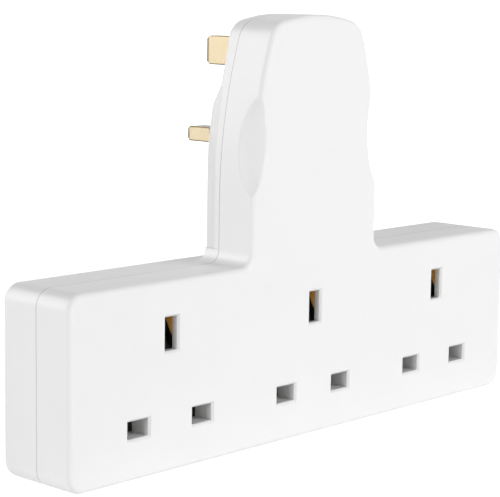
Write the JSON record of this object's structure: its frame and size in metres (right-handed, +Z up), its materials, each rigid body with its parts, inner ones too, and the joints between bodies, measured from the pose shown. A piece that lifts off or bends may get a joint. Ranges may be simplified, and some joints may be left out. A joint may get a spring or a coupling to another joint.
{
  "type": "plug adapter",
  "caption": "T-shaped fused plug adapter: a bar of shuttered sockets under a waisted stem with a plug and a pull-out fuse carrier on its back.",
  "frame": {"origin": "Under the middle of the adapter, on the plane that the bar stands on.", "axes": "+X along the bar to the right as seen from the sockets, +Y out of the back along the plug's pins, +Z up the stem."},
  "size_m": [0.175, 0.0406, 0.1129],
  "materials": {
    "housing_white": "white moulding, fine satin gloss",
    "pin_brass": "drawn brass, lightly polished",
    "sleeve_black": "black insulating sleeve",
    "shutter_black": "black moulding",
    "spring_steel": "spring wire",
    "contact_brass": "pressed strip, slightly darkened",
    "clip_brass": "pressed spring strip",
    "fuse_cap_metal": "plated cap",
    "fuse_ceramic": "plain unprinted barrel",
    "carrier_red": "red moulding, plain face",
    "screw_steel": "zinc-plated"
  },
  "bodies": {
    "housing": {"bar_screws": "screw_steel", "earth_bar": "contact_brass", "earth_contact_left": "contact_brass", "earth_contact_middle": "contact_brass", "earth_contact_right": "contact_brass", "earth_link": "contact_brass", "earth_pin": "pin_brass", "front_cover": "housing_white", "fuse_clip_line": "clip_brass", "fuse_clip_load": "clip_brass", "line_bar": "contact_brass", "line_contact_left": "contact_brass", "line_contact_middle": "contact_brass", "line_contact_right": "contact_brass", "line_link": "contact_brass", "line_pin": "pin_brass", "line_sleeve": "sleeve_black", "line_strap": "contact_brass", "neutral_bar": "contact_brass", "neutral_contact_left": "contact_brass", "neutral_contact_middle": "contact_brass", "neutral_contact_right": "contact_brass", "neutral_link": "contact_brass", "neutral_pin": "pin_brass", "neutral_sleeve": "sleeve_black", "rear_cover": "housing_white", "shutter_spring_left": "spring_steel", "shutter_spring_middle": "spring_steel", "shutter_spring_right": "spring_steel", "stem_screws": "screw_steel"},
    "carrier": {"fuse_carrier": "carrier_red", "fuse_barrel": "fuse_ceramic", "fuse_cap_line": "fuse_cap_metal", "fuse_cap_load": "fuse_cap_metal"},
    "shutter_left": {"shutter_left": "shutter_black"},
    "shutter_middle": {"shutter_middle": "shutter_black"},
    "shutter_right": {"shutter_right": "shutter_black"}
  },
  "joints": [
    {"name": "shutter_left_slide", "type": "slide", "parent": "housing", "child": "shutter_left", "axis": [0, 0, -1], "range_m": [0, 0.0053], "stiffness_N_per_m": 60, "springref_m": -0.004, "deforming": ["shutter_spring_left"]},
    {"name": "shutter_middle_slide", "type": "slide", "parent": "housing", "child": "shutter_middle", "axis": [0, 0, -1], "range_m": [0, 0.0053], "stiffness_N_per_m": 60, "springref_m": -0.004, "deforming": ["shutter_spring_middle"]},
    {"name": "shutter_right_slide", "type": "slide", "parent": "housing", "child": "shutter_right", "axis": [0, 0, -1], "range_m": [0, 0.0053], "stiffness_N_per_m": 60, "springref_m": -0.004, "deforming": ["shutter_spring_right"]},
    {"name": "carrier_slide", "type": "slide", "parent": "housing", "child": "carrier", "axis": [0, 1, 0], "range_m": [0, 0.0085]}
  ]
}
